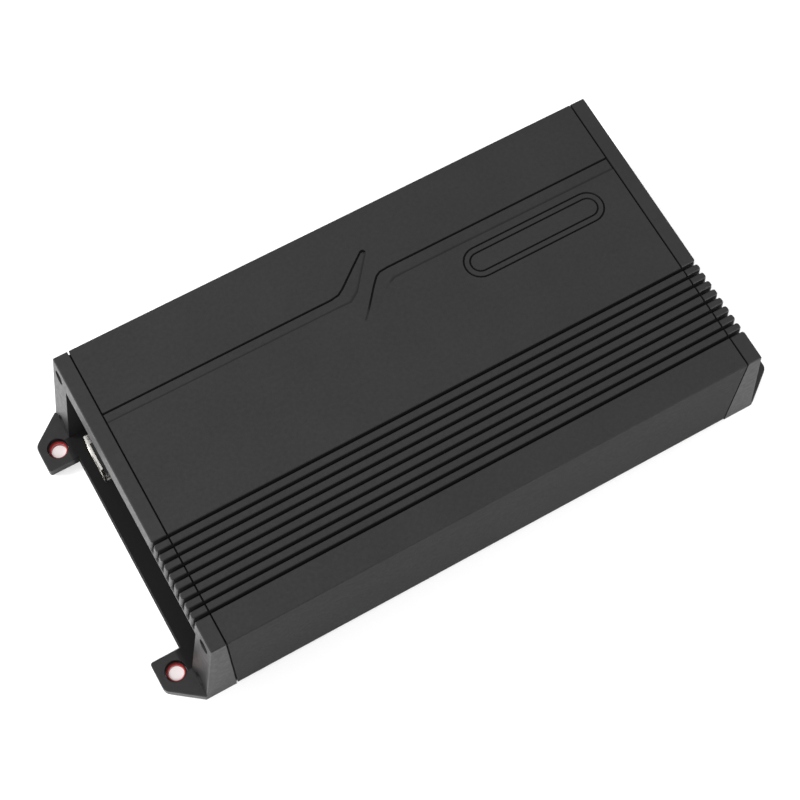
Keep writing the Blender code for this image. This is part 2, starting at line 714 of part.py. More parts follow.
# ---------------------------------------------------------------- panels and board
def panel_outline():
    """Fills the shell's mouth, with the step under the fins."""
    high = CEILING_PLAIN - LOOSE_GAP
    low = CEILING_FINS - LOOSE_GAP
    return [
        (-RAIL_INNER_Y + LOOSE_GAP, 3.9 * MM),
        (RAIL_INNER_Y - LOOSE_GAP, 3.9 * MM),
        (RAIL_INNER_Y - LOOSE_GAP, high),
        (FINS_EDGE_Y + LOOSE_GAP, high),
        (FINS_EDGE_Y + LOOSE_GAP, low),
        (-RAIL_INNER_Y + LOOSE_GAP, low),
    ]


def panel(name, side, parts, mat):
    centre = side * (PANEL_FACE_X - PANEL_THICKNESS / 2)
    mesh = outline_mesh(name, [panel_outline()], PANEL_THICKNESS, Matrix.Translation((centre, 0, 0)) @ ACROSS)
    return add_object(name, mesh, parts, mat=mat)


def through(side):
    """X span of a cutter that goes through a panel."""
    return side * (PANEL_FACE_X - 4 * MM), side * (PANEL_FACE_X + 2 * MM)


def build_signal_panel(parts, cutters, mat):
    plate = panel("end_panel_signal", -1, parts, mat)
    x_in, x_out = through(-1)
    rods = [(y, z, SLEEVE_RADIUS + 0.5 * MM, x_in, x_out) for y in JACK_Y for z in JACK_Z]
    rods += [(y, KNOB_Z, KNOB_RADIUS + LOOSE_GAP, x_in, x_out) for y in KNOB_Y]
    rods.append((LED_Y, LED_Z, 1.9 * MM, x_in, x_out))
    holes = add_object("signal_round_cut", rods_mesh("signal_round_cut", rods, 24), cutters)
    half = PORT_WIDTH / 2 + LOOSE_GAP
    port = ((x_out, PORT_Y - half, PART_LOW_Z - LOOSE_GAP), (x_in, PORT_Y + half, PORT_TOP_Z + LOOSE_GAP))
    slot = ((x_out, SWITCH_Y - 4.3 * MM, SWITCH_Z - 2 * MM), (x_in, SWITCH_Y + 4.3 * MM, SWITCH_Z + 2 * MM))
    windows = add_object("signal_window_cut", boxes_mesh("signal_window_cut", [port, slot]), cutters)
    cut(plate, add_cutter(holes), add_cutter(windows))


def build_power_panel(parts, cutters, mat):
    plate = panel("end_panel_power", 1, parts, mat)
    x_in, x_out = through(1)
    windows = []
    for low_y, high_y, top in (power_block_span(), speaker_block_span()):
        low = (x_in, low_y - LOOSE_GAP, PART_LOW_Z - LOOSE_GAP)
        windows.append((low, (x_out, high_y + LOOSE_GAP, top + LOOSE_GAP)))
    cut(plate, add_cutter(add_object("power_window_cut", boxes_mesh("power_window_cut", windows), cutters)))


def build_board(parts, mat):
    low = (-BOARD_HALF_LENGTH, -BOARD_HALF_WIDTH, BOARD_LOW_Z)
    high = (BOARD_HALF_LENGTH, BOARD_HALF_WIDTH, BOARD_TOP)
    add_object("circuit_board", box_mesh("circuit_board", low, high), parts, mat=mat)


# ---------------------------------------------------------------- signal end
def build_jacks(parts, cutters, plastic, nickel):
    """One housing with a post in each sleeve, and the four sleeves."""
    back_x, face_x = 88.0 * MM, PANEL_FACE_X - PANEL_THICKNESS - GAP
    low = (-face_x, JACK_Y[0] - 6.4 * MM, PART_LOW_Z)
    high = (-back_x, JACK_Y[1] + 6.4 * MM, JACK_Z[1] + 5.6 * MM)
    mesh = box_mesh("signal_jack_housing", low, high)
    housing = add_object("signal_jack_housing", mesh, parts, mat=plastic)
    posts, pins = [], []
    post_radius = SLEEVE_BORE - GAP
    for y in JACK_Y:
        for z in JACK_Z:
            posts.append((y, z, post_radius, -(face_x - 2 * MM), -(JACK_TIP_X - 0.6 * MM)))
            pins.append((y, z, 1.65 * MM, -(JACK_TIP_X - 8 * MM), -(JACK_TIP_X + OVERRUN)))
    union = add_object("jack_posts", rods_mesh("jack_posts", posts, 20), cutters)
    boolean(housing, add_cutter(union), "UNION")
    cut(housing, add_cutter(add_object("jack_pin_cut", rods_mesh("jack_pin_cut", pins, 16), cutters)))
    length = JACK_TIP_X - face_x - GAP
    profile = [
        (SLEEVE_RADIUS - 0.3 * MM, length),
        (SLEEVE_RADIUS, length - 0.3 * MM),
        (SLEEVE_RADIUS, 0),
        (SLEEVE_BORE, 0),
        (SLEEVE_BORE, length),
    ]
    shared = None
    names = {JACK_Z[0]: "lower", JACK_Z[1]: "upper"}
    for y, row in zip(JACK_Y, ("front", "rear")):
        for z in JACK_Z:
            name = f"jack_sleeve_{row}_{names[z]}"
            place = Matrix.Translation((-(face_x + GAP), y, z)) @ facing(-1)
            if shared is None:
                sleeve = turned(name, profile, 28, parts, (0, 0, 0), nickel)
                shared = apply_modifiers(sleeve)
                smooth(shared)
            else:
                sleeve = add_object(name, shared, parts)
            sleeve.matrix_world = place


def knob_mesh(parts, cutters, mat):
    """A plain knob with a screwdriver slot across its face, on local Z from its back to its face."""
    length = KNOB_TIP_X - (PANEL_FACE_X - PANEL_THICKNESS) - GAP
    radius, ease = KNOB_RADIUS, 0.5 * MM
    profile = [(0, length), (radius - ease, length), (radius, length - ease), (radius, 0), (0, 0)]
    knob = turned("knob", profile, 24, parts, (0, 0, 0), mat)
    slot = ((-0.45 * MM, -5 * MM, length - 1.2 * MM), (0.45 * MM, 5 * MM, length + OVERRUN))
    cutter = add_cutter(add_object("knob_slot_cut", box_mesh("knob_slot_cut", *slot), cutters))
    cut(knob, cutter)
    mesh = apply_modifiers(knob)
    smooth(mesh)
    bpy.data.objects.remove(knob, do_unlink=True)
    return mesh


def build_controls(parts, cutters, dark, knob_mat):
    mesh = knob_mesh(parts, cutters, knob_mat)
    back = PANEL_FACE_X - PANEL_THICKNESS
    for y, name in zip(KNOB_Y, KNOB_NAMES):
        knob = add_object(f"{name}_knob", mesh, parts, mat=knob_mat)
        knob.matrix_world = Matrix.Translation((-back, y, KNOB_Z)) @ facing(-1)
        low = (-(back - GAP), y - 4.8 * MM, PART_LOW_Z)
        high = (-(back - 7.5 * MM), y + 4.8 * MM, KNOB_Z + 4.8 * MM)
        add_object(f"{name}_potentiometer", box_mesh(f"{name}_pot", low, high), parts, mat=dark)


def build_switch(parts, cutters, dark, tab_mat):
    """A slide switch: its case behind the panel, and the slider that comes through the slot."""
    back = PANEL_FACE_X - PANEL_THICKNESS - GAP
    case_low = (-back, SWITCH_Y - 5.2 * MM, PART_LOW_Z)
    case_high = (-(back - 6 * MM), SWITCH_Y + 5.2 * MM, SWITCH_Z + 4.5 * MM)
    case = add_object("mode_switch_case", box_mesh("mode_switch_case", case_low, case_high), parts, mat=dark)
    slot = ((-back - OVERRUN, -4.4 * MM, -2.2 * MM), (-(back - 3 * MM), 4.4 * MM, 2.2 * MM))
    middle = (0, SWITCH_Y, SWITCH_Z)
    pocket = add_object("switch_pocket_cut", box_mesh("switch_pocket_cut", *slot), cutters, middle)
    cut(case, add_cutter(pocket))
    low = (-(PANEL_FACE_X + 2.6 * MM), -1.6 * MM, -1.6 * MM)
    high = (-(back - 2.6 * MM), 1.6 * MM, 1.6 * MM)
    add_object("mode_switch_slider", box_mesh("mode_switch_slider", low, high), parts, middle, tab_mat)


def build_port(parts, cutters, nickel, plastic):
    """The remote-level port: a folded shield, open over most of its top and one side, and its insert."""
    half, wall = PORT_WIDTH / 2, 0.7 * MM
    back_x, middle = 94.0 * MM, (0, PORT_Y, 0)
    low, high = (-PORT_TIP_X, -half, PART_LOW_Z), (-back_x, half, PORT_TOP_Z)
    shield = add_object("remote_port_shield", box_mesh("remote_port_shield", low, high), parts, middle, nickel)
    mouth_low = (-PORT_TIP_X - OVERRUN, -half + wall, PART_LOW_Z + wall)
    mouth_high = (-back_x - wall, half - wall, PORT_TOP_Z - wall)
    mouth = add_object("port_mouth_cut", box_mesh("port_mouth_cut", mouth_low, mouth_high), cutters, middle)
    window_low = (-PORT_TIP_X + PORT_LIP, -half - OVERRUN, PART_LOW_Z + 2 * wall)
    window_high = (-back_x - 2 * wall, half - 3.4 * MM, PORT_TOP_Z + OVERRUN)
    mesh = box_mesh("port_window_cut", window_low, window_high)
    window = add_object("port_window_cut", mesh, cutters, middle)
    cut(shield, add_cutter(mouth), add_cutter(window))
    ease = wall + GAP
    insert_low = (-PORT_TIP_X + 0.5 * MM, -half + ease, PART_LOW_Z + ease)
    insert_high = (-back_x - ease, half - ease, PORT_TOP_Z - ease)
    mesh = box_mesh("remote_port_insert", insert_low, insert_high)
    insert = add_object("remote_port_insert", mesh, parts, middle, plastic)
    plug_low = (-PORT_TIP_X - OVERRUN, -5.9 * MM, 17.6 * MM)
    plug_high = (-back_x - 3 * MM, 5.9 * MM, 25.2 * MM)
    plug = add_object("port_plug_cut", box_mesh("port_plug_cut", plug_low, plug_high), cutters, middle)
    cut(insert, add_cutter(plug))


def build_indicator(parts, mat):
    """A round-nosed lens that fills its hole in the panel."""
    back = PANEL_FACE_X - PANEL_THICKNESS
    length = PANEL_THICKNESS + 0.8 * MM
    radius = 1.5 * MM
    nose = [(radius * x, length + 0.8 * MM * y) for x, y in arc(0, 0, 1, 90, 0, 3)]
    profile = [(0, nose[0][1]), *nose[1:], (radius, -4 * MM), (0, -4 * MM)]
    lens = turned("power_indicator_lens", profile, 16, parts, (0, 0, 0), mat)
    lens.matrix_world = Matrix.Translation((-back, LED_Y, LED_Z)) @ facing(-1)


# ---------------------------------------------------------------- power end
def power_block_span():
    return POWER_Y[0] - 6.3 * MM, POWER_Y[-1] + 5.4 * MM, 37.0 * MM


def speaker_block_span():
    return SPEAKER_Y[0] - 5.2 * MM, SPEAKER_Y[-1] + 5.2 * MM, 31.0 * MM


def terminal_block(name, span, ports, wells, parts, cutters, mat):
    """A housing with a pocket for each clamp and, where a screw closes it, a stepped well for the screw."""
    low_y, high_y, top = span
    low, high = (TERMINAL_BACK_X, low_y, PART_LOW_Z), (POWER_TIP_X, high_y, top)
    block = add_object(name, box_mesh(name, low, high), parts, mat=mat)
    pockets = boxes_mesh(name + "_port_cut", ports)
    cut(block, add_cutter(add_object(name + "_port_cut", pockets, cutters)))
    for step, rods in enumerate(wells, start=1):
        well = f"{name}_well_cut_{step}"
        cut(block, add_cutter(add_object(well, rods_mesh(well, rods), cutters)))


def square_span(y, z, half, x_from, x_to):
    return (x_from, y - half, z - half), (x_to, y + half, z + half)


def clamp(name, y, z, half, wall, x_from, x_to, parts, cutters, mat):
    """A square tube that grips the wire, open towards the end of the amplifier."""
    tube = add_object(name, box_mesh(name, *square_span(y, z, half, x_from, x_to)), parts, mat=mat)
    hole = box_mesh(name + "_cut", *square_span(y, z, half - wall, x_from + wall, x_to + OVERRUN))
    cut(tube, add_cutter(add_object(name + "_cut", hole, cutters)))


def build_power_terminals(parts, cutters, plastic, nickel, steel):
    depth_x, mouth_x = 92.0 * MM, POWER_TIP_X + OVERRUN
    half, screw_z = 4.4 * MM, POWER_PORT_Z + 10.2 * MM
    ports = [square_span(y, POWER_PORT_Z, half, depth_x, mouth_x) for y in POWER_Y]
    seat_x = POWER_TIP_X - 4 * MM
    heads = [(y, screw_z, 3.2 * MM, seat_x, mouth_x) for y in POWER_Y]
    shanks = [(y, screw_z, CLEARANCE_RADIUS, seat_x - 7.2 * MM, mouth_x) for y in POWER_Y]
    wells = [heads, shanks]
    terminal_block("power_terminal_block", power_block_span(), ports, wells, parts, cutters, plastic)
    mesh = screw_mesh(parts, cutters, "clamp_screw", 2.8 * MM, 2.0 * MM, 1.3 * MM, 6.5 * MM, steel)
    for y, use in zip(POWER_Y, POWER_NAMES):
        clamp_half = half - GAP
        x_to = POWER_TIP_X - 1 * MM
        name = f"{use}_terminal_clamp"
        clamp(name, y, POWER_PORT_Z, clamp_half, 1.0 * MM, depth_x + GAP, x_to, parts, cutters, nickel)
        screw = add_object(f"{use}_clamp_screw", mesh, parts, mat=steel)
        screw.matrix_world = Matrix.Translation((seat_x + GAP, y, screw_z)) @ facing(1)


def build_speaker_terminals(parts, cutters, plastic, nickel):
    depth_x, mouth_x, half = 94.0 * MM, POWER_TIP_X + OVERRUN, 3.2 * MM
    ports = [square_span(y, SPEAKER_PORT_Z, half, depth_x, mouth_x) for y in SPEAKER_Y]
    terminal_block("speaker_terminal_block", speaker_block_span(), ports, [], parts, cutters, plastic)
    for index, y in enumerate(SPEAKER_Y, start=1):
        x_to = POWER_TIP_X - 1 * MM
        name = f"speaker_terminal_clamp_{index}"
        clamp(name, y, SPEAKER_PORT_Z, half - GAP, 0.6 * MM, depth_x + GAP, x_to, parts, cutters, nickel)


# ---------------------------------------------------------------- inside
def build_toroid(parts, mat):
    steps, sides, ring, tube = 32, 12, 14.0 * MM, 6.5 * MM
    profile = [
        (ring + tube * math.cos(2 * math.pi * i / sides), -tube * math.sin(2 * math.pi * i / sides))
        for i in range(sides)
    ]
    place = (38 * MM, 12 * MM, PART_LOW_Z + tube)
    toroid = turned("toroidal_transformer", profile, steps, parts, place, mat)
    smooth(apply_modifiers(toroid))


def build_capacitors(parts, mat):
    radius, height = 8.0 * MM, 22.0 * MM
    profile = [
        (0, height),
        (radius - 0.8 * MM, height),
        (radius, height - 0.8 * MM),
        (radius, 0),
        (0, 0),
    ]
    shared = None
    for index, y in enumerate((-2 * MM, 18 * MM), start=1):
        name = f"reservoir_capacitor_{index}"
        place = (0, y, PART_LOW_Z)
        if shared is None:
            shared = apply_modifiers(turned(name, profile, 24, parts, place, mat))
            smooth(shared)
        else:
            add_object(name, shared, parts, place)


def build_output_stage(parts, dark, steel):
    """Two output transistors against the finned wall, held by one bar."""
    top = PART_LOW_Z + 20 * MM
    wall_y = -(side_y(top) - WALL)
    for x, side in ((-30 * MM, "left"), (30 * MM, "right")):
        low = (x - 8 * MM, wall_y + 0.5 * MM, PART_LOW_Z)
        high = (x + 8 * MM, wall_y + 5.5 * MM, top)
        name = f"output_transistor_{side}"
        add_object(name, box_mesh(name, low, high), parts, mat=dark)
    low = (-45 * MM, wall_y + 5.5 * MM + GAP, PART_LOW_Z + 7 * MM)
    high = (45 * MM, wall_y + 8.5 * MM + GAP, PART_LOW_Z + 14 * MM)
    add_object("transistor_clamp_bar", box_mesh("transistor_clamp_bar", low, high), parts, mat=steel)


def main():
    clear_scene()
    parts = new_collection("car_amplifier")
    cutters = new_collection("cutters", hidden=True)
    coat = material("black_textured_coat", (0.045, 0.045, 0.045), 0.62)
    sheet = material("black_sheet", (0.02, 0.02, 0.02), 0.5)
    red = material("red_bushing", (0.55, 0.02, 0.03), 0.4)
    dark_steel = material("blackened_steel", (0.03, 0.03, 0.03), 0.4, 0.9)
    nickel = material("nickel_plate", (0.82, 0.8, 0.76), 0.2, 1.0)
    black = material("black_plastic", (0.015, 0.015, 0.015), 0.45)
    knob_mat = material("knob_plastic", (0.02, 0.02, 0.02), 0.55)
    lens = material("blue_lens", (0.1, 0.25, 0.9), 0.1)
    board = material("board_green", (0.02, 0.14, 0.06), 0.4)
    copper = material("enamelled_copper", (0.5, 0.2, 0.06), 0.35, 0.6)
    sleeve = material("capacitor_sleeve", (0.02, 0.03, 0.08), 0.35)

    build_shell(parts, cutters, coat)
    build_bottom_plate(parts, cutters, sheet)
    build_caps(parts, cutters, coat)
    build_bushings(parts, red)
    build_cap_screws(parts, cutters, dark_steel)
    build_plate_screws(parts, cutters, dark_steel)
    build_signal_panel(parts, cutters, sheet)
    build_power_panel(parts, cutters, sheet)
    build_board(parts, board)
    build_jacks(parts, cutters, black, nickel)
    build_controls(parts, cutters, black, knob_mat)
    build_switch(parts, cutters, black, knob_mat)
    build_port(parts, cutters, nickel, black)
    build_indicator(parts, lens)
    build_power_terminals(parts, cutters, black, nickel, dark_steel)
    build_speaker_terminals(parts, cutters, black, nickel)
    build_toroid(parts, copper)
    build_capacitors(parts, sleeve)
    build_output_stage(parts, black, dark_steel)


main()
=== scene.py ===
import math

import bmesh
import bpy
from mathutils import Matrix, Vector


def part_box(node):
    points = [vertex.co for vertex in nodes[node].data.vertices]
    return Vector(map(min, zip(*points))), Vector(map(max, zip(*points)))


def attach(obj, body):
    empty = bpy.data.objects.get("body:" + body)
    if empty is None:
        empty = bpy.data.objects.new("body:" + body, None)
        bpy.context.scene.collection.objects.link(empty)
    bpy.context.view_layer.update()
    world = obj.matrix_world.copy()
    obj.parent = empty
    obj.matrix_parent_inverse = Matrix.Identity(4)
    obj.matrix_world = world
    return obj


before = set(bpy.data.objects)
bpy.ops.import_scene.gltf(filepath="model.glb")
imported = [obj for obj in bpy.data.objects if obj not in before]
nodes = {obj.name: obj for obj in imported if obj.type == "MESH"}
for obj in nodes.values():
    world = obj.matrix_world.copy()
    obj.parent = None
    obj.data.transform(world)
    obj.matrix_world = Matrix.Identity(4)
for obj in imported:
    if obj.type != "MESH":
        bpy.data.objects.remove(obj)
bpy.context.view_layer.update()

MM = 0.001
BODY = "amplifier"

# Camera, solved from the body's own edges
CAMERA_LOCATION = (-0.13681, -0.20990, 0.63267)
CAMERA_ROTATION = (21.91, -1.24, -29.51)  # degrees about X, Y and Z
CAMERA_LENS = 82.93
CAMERA_SENSOR = 36.0
CAMERA_CLIP_START = 0.01

ENDS = ("left", "right")
ROWS = ("front", "back")
CONTROLS = ("front_gain", "rear_gain", "crossover")
POWER_PORTS = ("positive", "remote", "ground")


# ---------------------------------------------------------------- node material helpers
class Shader:
    """A Principled material with procedural colour, roughness and bump in object space."""

    def __init__(self, name, metallic=0.0, ior=1.5):
        self.material = bpy.data.materials.new(name)
        self.material.use_nodes = True
        self.tree = self.material.node_tree
        self.shader = self.tree.nodes["Principled BSDF"]
        self.shader.inputs["Metallic"].default_value = metallic
        self.shader.inputs["IOR"].default_value = ior
        coordinates = self.tree.nodes.new("ShaderNodeTexCoord")
        self.place, self.normal = coordinates.outputs["Object"], coordinates.outputs["Normal"]

    def link(self, out, socket):
        self.tree.links.new(out, socket)

    def stretched(self, scale):
        """Object coordinates scaled by different amounts along X, Y and Z."""
        node = self.tree.nodes.new("ShaderNodeMapping")
        node.inputs["Scale"].default_value = scale
        self.link(self.place, node.inputs["Vector"])
        return node.outputs["Vector"]

    def noise(self, scale, detail=3.0, roughness=0.55, place=None):
        """Soft noise; the detail is how many finer layers are added, the roughness how strong they are."""
        node = self.tree.nodes.new("ShaderNodeTexNoise")
        node.inputs["Scale"].default_value = scale
        node.inputs["Detail"].default_value = detail
        node.inputs["Roughness"].default_value = roughness
        self.link(place or self.place, node.inputs["Vector"])
        return node.outputs["Fac"]

    def cells(self, scale, place):
        """Distance from the middle of the nearest cell."""
        node = self.tree.nodes.new("ShaderNodeTexVoronoi")
        node.inputs["Scale"].default_value = scale
        self.link(place, node.inputs["Vector"])
        return node.outputs["Distance"]

    def axes(self, vector):
        """The X, Y and Z of a vector."""
        node = self.tree.nodes.new("ShaderNodeSeparateXYZ")
        self.link(vector, node.inputs["Vector"])
        return node.outputs

    def combined(self, operation, *values):
        """Works the values in one after the other, or works on a single one, kept within 0 to 1."""
        result = values[0]
        for value in values[1:] or (None,):
            node = self.tree.nodes.new("ShaderNodeMath")
            node.operation = operation
            node.use_clamp = True
            self.link(result, node.inputs[0])
            if value is not None:
                self.link(value, node.inputs[1])
            result = node.outputs[0]
        return result

    def within(self, value, limit, fade=0.1 * MM):
        """1 where a coordinate's size is below the limit, 0 where it is above."""
        return self.ranged(self.combined("ABSOLUTE", value), 1.0, 0.0, limit, limit + fade)

    def ranged(self, value, low, high, start=0.3, end=0.7):
        """Maps start to end onto low to high and holds the ends; the defaults suit a noise's values."""
        node = self.tree.nodes.new("ShaderNodeMapRange")
        node.inputs["From Min"].default_value = start
        node.inputs["From Max"].default_value = end
        node.inputs["To Min"].default_value = low
        node.inputs["To Max"].default_value = high
        self.link(value, node.inputs["Value"])
        return node.outputs["Result"]

    def mixed(self, factor, first, second):
        """Mixes two colours; the first may also be a socket."""
        node = self.tree.nodes.new("ShaderNodeMix")
        node.data_type = "RGBA"
        self.link(factor, node.inputs["Factor"])
        if isinstance(first, tuple):
            node.inputs["A"].default_value = (*first, 1.0)
        else:
            self.link(first, node.inputs["A"])
        node.inputs["B"].default_value = (*second, 1.0)
        return node.outputs["Result"]

    def patchy(self, noise, first, second):
        """A colour that wanders between two as the noise does."""
        return self.mixed(self.ranged(noise, 0.0, 1.0), first, second)

    def colour(self, factor, first, second):
        self.link(self.mixed(factor, first, second), self.shader.inputs["Base Color"])

    def roughness(self, value):
        self.link(value, self.shader.inputs["Roughness"])

    def bump(self, height, distance, strength, below=None):
        """Bump on the shader's normal, over an earlier bump where one is given."""
        node = self.tree.nodes.new("ShaderNodeBump")
        node.inputs["Distance"].default_value = distance
        node.inputs["Strength"].default_value = strength
        self.link(height, node.inputs["Height"])
        if below is not None:
            self.link(below, node.inputs["Normal"])
        self.link(node.outputs["Normal"], self.shader.inputs["Normal"])
        return node.outputs["Normal"]


def scaled(colour, by):
    return tuple(channel * by for channel in colour)


COAT_SPECULAR = 0.31
# painted shade: the coat's colour is multiplied by this in the grooves, seam, recess and along the step's
# front line
PAINTED_SHADE_FACTOR = 0.2  # the coat's colour is multiplied by this where it is sunk
FRONT_ROUGH = 0.13  # added roughness of the faces that look to the front

# The coats get painted shade, dark and matt, inside these limits: X and Y from the body's middle, Z above the
# feet's plane
GROOVE_END_X = 106.2 * MM
GROOVE_SIDE_Y = 56.0 * MM
GROOVE_TOP_Z = 49.2 * MM
GROOVE_FADE = 0.2 * MM
SEAM_X = 101.51 * MM
SEAM_FADE = 0.05 * MM
RECESS_SIDE_Y = 48.84 * MM
RECESS_TOP_Z = 41.6 * MM
LEDGE_X = 113.5 * MM  # the recess has painted shade as far out as this
LEDGE_FADE = 2.0 * MM

# Painted shade on the strip of the engraved step's floor along its front line, as the heights where it starts
# and stops
STRIP_SHADE = 0.4  # how much painted shade it gets, as a share of the full amount
STRIP_START_Z = (49.636 * MM, 49.648 * MM)
STRIP_STOP_Z = (49.654 * MM, 49.66 * MM)
# The right-hand run's floor rises within these, through the same heights, and has no strip
RISE_LEFT_X = (1.5 * MM, 2.0 * MM)
RISE_RIGHT_X = (8.3 * MM, 9.0 * MM)
RISE_BACK_Y = (34.0 * MM, 34.5 * MM)


def painted_step_shade(made, x, y, z):
    """Painted shade along the engraved step's front line."""
    left = made.ranged(x, 1.0, 0.0, *RISE_LEFT_X)
    right = made.ranged(x, 0.0, 1.0, *RISE_RIGHT_X)
    behind = made.ranged(y, 0.0, 1.0, *RISE_BACK_Y)
    level = made.combined("MAXIMUM", left, right, behind)
    # painted shade: a thin dark band where the step's floor meets its front line
    start = made.ranged(z, 0.0, STRIP_SHADE, *STRIP_START_Z)
    stop = made.ranged(z, 1.0, 0.0, *STRIP_STOP_Z)
    return made.combined("MULTIPLY", start, stop, level)


def painted_shade_places(made, cap):
    """Where shade is painted: 1 in the grooves and, on an end cap, in the seam and the recess; less along the
    step's front line.
    """
    x, y, z = made.axes(made.place)
    lines = made.combined("MAXIMUM", made.within(z, GROOVE_TOP_Z, GROOVE_FADE), painted_step_shade(made, x, y, z))
    painted_shade = made.combined("MULTIPLY", made.within(x, GROOVE_END_X), made.within(y, GROOVE_SIDE_Y), lines)
    if not cap:
        return painted_shade
    ledge = made.within(x, LEDGE_X, LEDGE_FADE)
    recess = made.combined("MULTIPLY", made.within(y, RECESS_SIDE_Y), made.within(z, RECESS_TOP_Z), ledge)
    return made.combined("MAXIMUM", painted_shade, made.within(x, SEAM_X, SEAM_FADE), recess)


def textured_coat(name, base, low_rough, high_rough, grain=1400.0, relief=0.5, up_rough=0.0, cap=False):
    """Fine-texture powder coat: a granular, slightly patchy skin, with painted shade, dark and matt, in the
    grooves and, on a cap, in the seam and recess, and duller on the faces that look to the front and, by
    up_rough, on those that look up."""
    made = Shader(name)
    made.shader.inputs["Specular IOR Level"].default_value = COAT_SPECULAR
    painted_shade = painted_shade_places(made, cap)
    patchy = made.patchy(made.noise(45.0, 4.0), scaled(base, 0.93), scaled(base, 1.08))
    # painted shade: the coat's colour is darkened in the sunk places
    made.link(made.mixed(painted_shade, patchy, scaled(base, PAINTED_SHADE_FACTOR)), made.shader.inputs["Base Color"])
    grainy = made.ranged(made.noise(grain * 0.5), low_rough, high_rough)
    facing = made.axes(made.normal)
    up = made.ranged(facing["Z"], 0.0, up_rough, 0.7, 0.98)
    front = made.ranged(facing["Y"], FRONT_ROUGH, 0.0, -0.98, -0.8)
    made.roughness(made.combined("ADD", grainy, up, front, painted_shade))
    waves = made.bump(made.noise(grain * 0.25, 2.0), 0.04 * MM, 0.6 * relief)
    made.bump(made.noise(grain, 3.0, 0.7), 0.05 * MM, relief, below=waves)
    return made.material


def plated_metal(name, base, low_rough, high_rough):
    """Bright plate with hairline scratches along the piece and soft handling marks."""
    made = Shader(name, metallic=1.0)
    lines = made.noise(900.0, 3.0, 0.6, place=made.stretched((0.12, 1.0, 1.0)))
    made.colour(made.ranged(made.noise(120.0), 0, 1), scaled(base, 0.94), base)
    made.roughness(made.ranged(lines, low_rough, high_rough))
    made.bump(lines, 0.008 * MM, 0.3)
    return made.material


def moulded_plastic(name, base, low_rough, high_rough, grain=2200.0):
    """Spark-textured moulded plastic."""
    made = Shader(name, ior=1.46)
    made.colour(made.ranged(made.noise(90.0, 4.0), 0, 1), scaled(base, 0.88), scaled(base, 1.14))
    made.roughness(made.ranged(made.noise(grain * 0.4), low_rough, high_rough))
    made.bump(made.noise(grain, 2.0, 0.6), 0.03 * MM, 0.5)
    return made.material


# painted shade: the near-black colour put on the bushing's faces that look up
PAINTED_TOP_SHADE = (0.02, 0.008, 0.008)


def bushing_plastic(name, base):
    """Moulded red plastic, darkened to near black by painted shade and matt on the faces that look up."""
    made = Shader(name, ior=1.46)
    patchy = made.patchy(made.noise(90.0, 4.0), scaled(base, 0.88), scaled(base, 1.14))
    shaded_top = made.ranged(made.axes(made.normal)["Z"], 0.0, 1.0, 0.75, 0.95)
    # painted shade on the faces that look up
    made.link(made.mixed(shaded_top, patchy, PAINTED_TOP_SHADE), made.shader.inputs["Base Color"])
    smooth = made.ranged(made.noise(600.0), 0.3, 0.42)
    made.roughness(made.combined("ADD", smooth, made.combined("MULTIPLY", shaded_top, shaded_top)))
    made.bump(made.noise(1500.0, 2.0, 0.6), 0.015 * MM, 0.5)
    return made.material


CLAMP_SHADE_X = 104.6 * MM  # painted shade darkens a wire clamp further in than this, measured from the body's middle
CLAMP_FADE = 1.8 * MM


def clamp_metal(name, base):
    """Plate that is bright at the mouth of a wire clamp and darkened by painted shade further in."""
    made = Shader(name, metallic=1.0)
    inside = made.within(made.axes(made.place)["X"], CLAMP_SHADE_X, CLAMP_FADE)
    patchy = made.patchy(made.noise(260.0), scaled(base, 0.9), base)
    # painted shade: the plate's colour darkened inside the clamp
    made.link(made.mixed(inside, patchy, scaled(base, 0.07)), made.shader.inputs["Base Color"])
    made.roughness(made.ranged(made.noise(500.0, 3.0), 0.24, 0.4))
    made.bump(made.noise(700.0), 0.01 * MM, 0.3)
    return made.material


def painted_sheet(name, base):
    """Satin paint on sheet steel, with a slight orange peel."""
    made = Shader(name)
    made.colour(made.ranged(made.noise(60.0, 3.0), 0, 1), scaled(base, 0.9), scaled(base, 1.12))
    made.roughness(made.ranged(made.noise(500.0), 0.34, 0.46))
    made.bump(made.noise(700.0, 1.0), 0.03 * MM, 0.4)
    return made.material


def blackened_steel(name, base):
    """Black oxide on machined steel: turning lines and rubbed, brighter patches."""
    made = Shader(name, metallic=0.85)
    rubbed = made.ranged(made.noise(700.0, 4.0, 0.65), 0, 1, 0.45, 0.75)
    made.colour(rubbed, base, scaled(base, 2.4))
    made.roughness(made.ranged(made.noise(1600.0), 0.28, 0.46))
    made.bump(made.noise(2600.0, 2.0), 0.02 * MM, 0.4)
    return made.material


def solder_masked_board(name):
    """Glass-fibre board: green mask over copper tracks that show through as lighter lines."""
    made = Shader(name)
    tracks = made.ranged(made.cells(260.0, made.stretched((1.0, 0.35, 1.0))), 0, 1, 0.32, 0.36)
    made.colour(tracks, (0.012, 0.1, 0.04), (0.03, 0.2, 0.08))
    made.roughness(made.ranged(made.noise(300.0), 0.28, 0.4))
    made.bump(tracks, 0.03 * MM, 0.5)
    return made.material


def wound_wire(name):
    """Enamelled copper wire laid side by side."""
    made = Shader(name, metallic=0.7)
    strands = made.noise(1500.0, 1.0, 0.4, place=made.stretched((1.0, 0.1, 0.1)))
    made.colour(made.ranged(strands, 0, 1), (0.3, 0.09, 0.02), (0.6, 0.26, 0.08))
    made.roughness(made.ranged(made.noise(800.0), 0.25, 0.4))
    made.bump(strands, 0.15 * MM, 0.7)
    return made.material


